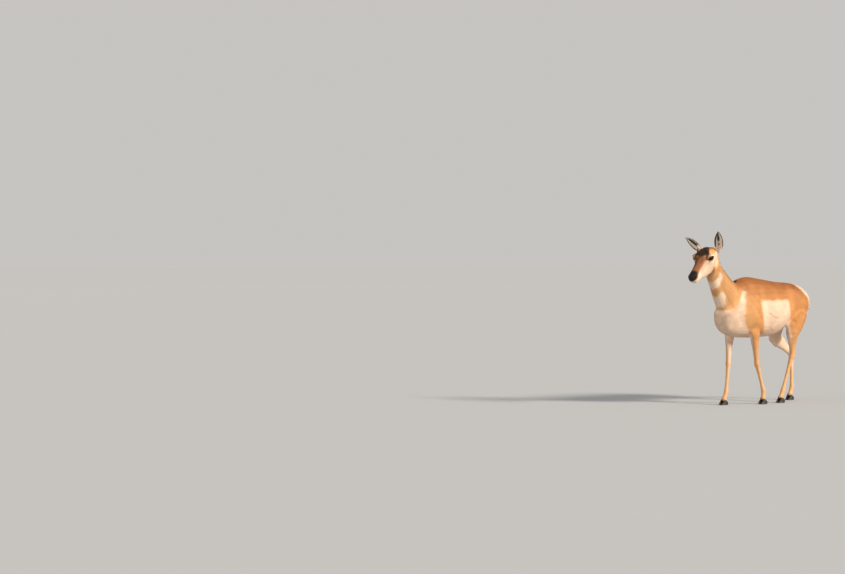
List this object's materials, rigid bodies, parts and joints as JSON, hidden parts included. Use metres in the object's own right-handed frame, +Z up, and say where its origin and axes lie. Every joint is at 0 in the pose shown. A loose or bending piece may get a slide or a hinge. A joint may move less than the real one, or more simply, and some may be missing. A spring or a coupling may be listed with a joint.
{
  "type": "pronghorn",
  "caption": "Life-size still model of a female pronghorn walking with her head raised and turned slightly to one side.",
  "frame": {"origin": "on the floor under the middle of the animal's bounding box", "axes": "+Z up, the animal faces -X, her left flank faces -Y"},
  "size_m": [1.3382, 0.3086, 1.1984],
  "materials": {
    "coat": "short dense tan coat with cream markings",
    "pale_coat": "cream hair",
    "eye": "wet gloss",
    "horn": "rough horn",
    "hoof": "worn horn"
  },
  "bodies": {
    "root": {"torso": "coat", "neck": "coat", "head": "coat", "tail": "pale_coat", "ear_left": "pale_coat", "ear_right": "pale_coat", "eye_left": "eye", "eye_right": "eye", "horn_left": "horn", "horn_right": "horn", "foreleg_left": "coat", "foreleg_right": "coat", "hindleg_left": "coat", "hindleg_right": "coat", "hoof_foreleg_left_inner": "hoof", "hoof_foreleg_left_outer": "hoof", "hoof_foreleg_right_inner": "hoof", "hoof_foreleg_right_outer": "hoof", "hoof_hindleg_left_inner": "hoof", "hoof_hindleg_left_outer": "hoof", "hoof_hindleg_right_inner": "hoof", "hoof_hindleg_right_outer": "hoof"}
  },
  "joints": []
}
